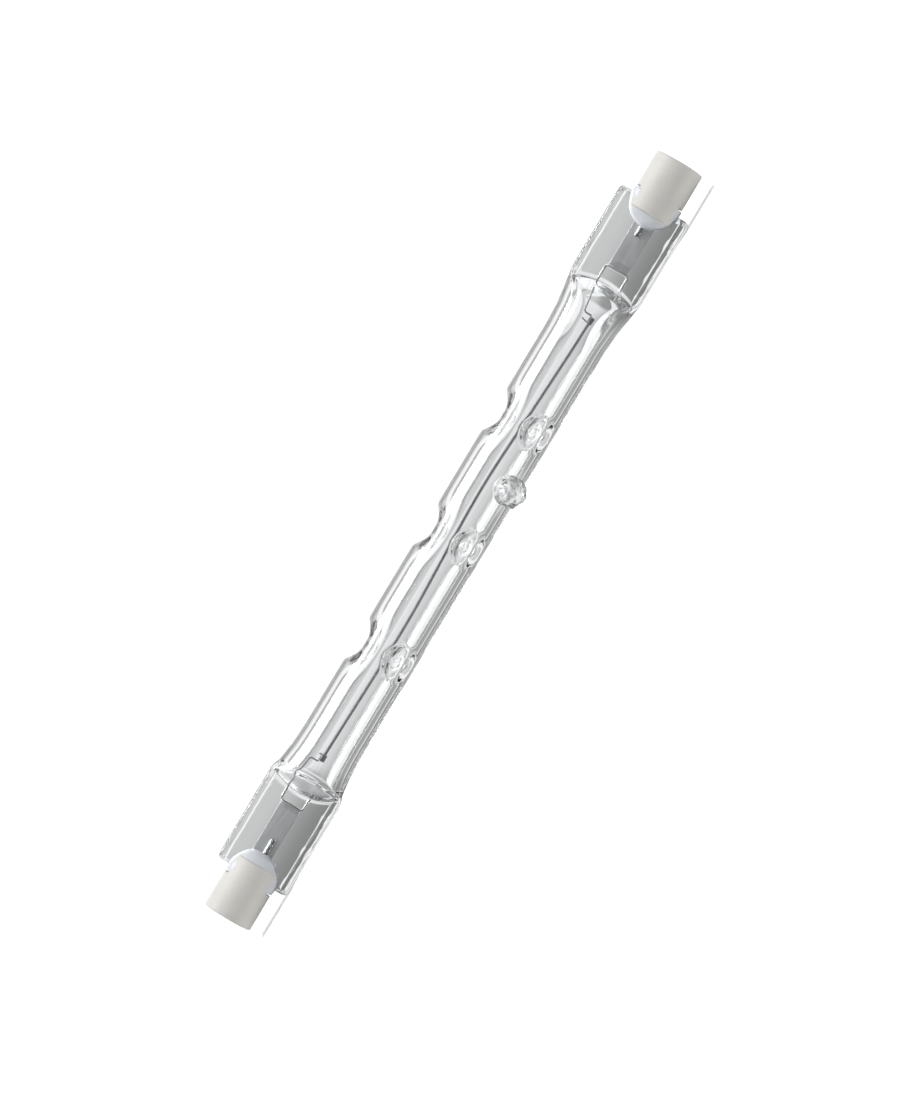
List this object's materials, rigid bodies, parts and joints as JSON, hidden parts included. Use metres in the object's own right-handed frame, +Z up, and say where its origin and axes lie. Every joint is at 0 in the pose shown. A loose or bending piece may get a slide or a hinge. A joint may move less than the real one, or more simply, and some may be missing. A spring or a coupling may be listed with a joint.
{
  "type": "linear halogen bulb",
  "caption": "Double-ended linear halogen lamp: clear quartz tube with dimpled supports, coiled filament, pinched foil seals and slotted ceramic end caps with recessed contacts",
  "frame": {"origin": "on the lamp's axis, halfway between the ends of its caps", "axes": "+X along the lamp towards its right cap, +Z up with the lamp lying at rest on one edge of each pinched plate and on its exhaust stub"},
  "size_m": [0.1176, 0.0108, 0.0108],
  "materials": {
    "quartz": "clear, fire-polished",
    "tungsten": "dull, drawn wire",
    "molybdenum_wire": "dull, drawn wire",
    "molybdenum_foil": "satin",
    "steatite": "unglazed, fine grained",
    "cement": "smooth, matte",
    "nickel": "satin nickel"
  },
  "bodies": {
    "root": {"quartz_envelope": "quartz", "filament_coil": "tungsten", "filament_clamp_left": "tungsten", "inner_lead_left": "molybdenum_wire", "sealing_foil_left": "molybdenum_foil", "outer_lead_left": "molybdenum_wire", "ceramic_cap_left": "steatite", "cap_cement_left": "cement", "contact_left": "nickel", "filament_clamp_right": "tungsten", "inner_lead_right": "molybdenum_wire", "sealing_foil_right": "molybdenum_foil", "outer_lead_right": "molybdenum_wire", "ceramic_cap_right": "steatite", "cap_cement_right": "cement", "contact_right": "nickel"}
  },
  "joints": []
}
